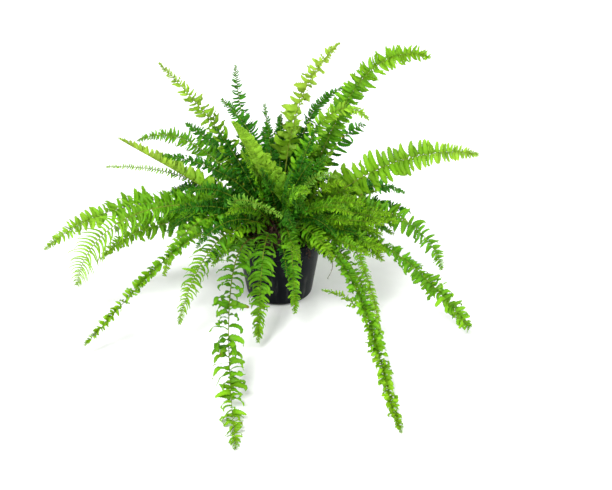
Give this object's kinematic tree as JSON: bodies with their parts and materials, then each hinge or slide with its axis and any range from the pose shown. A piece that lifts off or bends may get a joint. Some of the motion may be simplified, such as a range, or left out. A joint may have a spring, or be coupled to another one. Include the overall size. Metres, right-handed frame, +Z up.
{
  "type": "potted fern",
  "caption": "Bushy sword fern in a round black nursery pot, with fronds that stand, arch, droop past the rim and trail on the surface.",
  "frame": {"origin": "middle of the pot's flat underside, on the surface it stands on", "axes": "+Z up, +X to the viewer's right, -Y towards the viewer"},
  "size_m": [0.7363, 0.8215, 0.4161],
  "materials": {
    "pot_plastic": "satin moulded black plastic with fine upright streaks",
    "potting_mix": "damp crumbly peat and bark",
    "crown_fibre": "matted brown scales and old stalk bases",
    "leaf_mature": "satin mid-green leaf",
    "leaf_young": "soft pale yellow-green leaf",
    "leaf_shade": "satin dark-green leaf",
    "runner_stem": "dry straw-brown runner"
  },
  "bodies": {
    "root": {"pot": "pot_plastic", "potting_mix": "potting_mix", "crown": "crown_fibre", "frond_young_1": "leaf_young", "frond_young_2": "leaf_young", "frond_upright_1": "leaf_shade", "frond_upright_2": "leaf_shade", "frond_upright_3": "leaf_shade", "frond_upright_4": "leaf_shade", "frond_upright_5": "leaf_shade", "frond_upright_6": "leaf_shade", "frond_lime_1": "leaf_young", "frond_lime_2": "leaf_young", "frond_lime_3": "leaf_young", "frond_lime_4": "leaf_young", "frond_arching_1": "leaf_mature", "frond_arching_2": "leaf_mature", "frond_arching_3": "leaf_mature", "frond_arching_4": "leaf_mature", "frond_arching_5": "leaf_mature", "frond_arching_6": "leaf_mature", "frond_arching_7": "leaf_mature", "frond_arching_8": "leaf_mature", "frond_arching_9": "leaf_mature", "frond_drooping_1": "leaf_mature", "frond_drooping_2": "leaf_mature", "frond_drooping_3": "leaf_mature", "frond_drooping_4": "leaf_mature", "frond_drooping_5": "leaf_mature", "frond_drooping_6": "leaf_mature", "frond_drooping_7": "leaf_mature", "frond_drooping_8": "leaf_mature", "frond_drooping_9": "leaf_mature", "frond_drooping_10": "leaf_mature", "frond_drooping_11": "leaf_mature", "frond_drooping_12": "leaf_mature", "frond_trailing_1": "leaf_mature", "frond_trailing_2": "leaf_mature", "frond_curled_1": "leaf_mature", "frond_rear_1": "leaf_shade", "frond_rear_2": "leaf_shade", "frond_rear_3": "leaf_shade", "frond_rear_4": "leaf_shade", "frond_rear_5": "leaf_shade", "frond_rear_6": "leaf_shade", "frond_rear_7": "leaf_shade", "frond_rear_8": "leaf_shade", "frond_rear_9": "leaf_shade", "frond_rear_10": "leaf_shade", "frond_inner_1": "leaf_mature", "frond_inner_2": "leaf_mature", "frond_inner_3": "leaf_mature", "frond_inner_4": "leaf_mature", "frond_inner_5": "leaf_mature", "frond_inner_6": "leaf_mature", "frond_inner_7": "leaf_mature", "runner_1": "runner_stem", "runner_2": "runner_stem"}
  },
  "joints": []
}
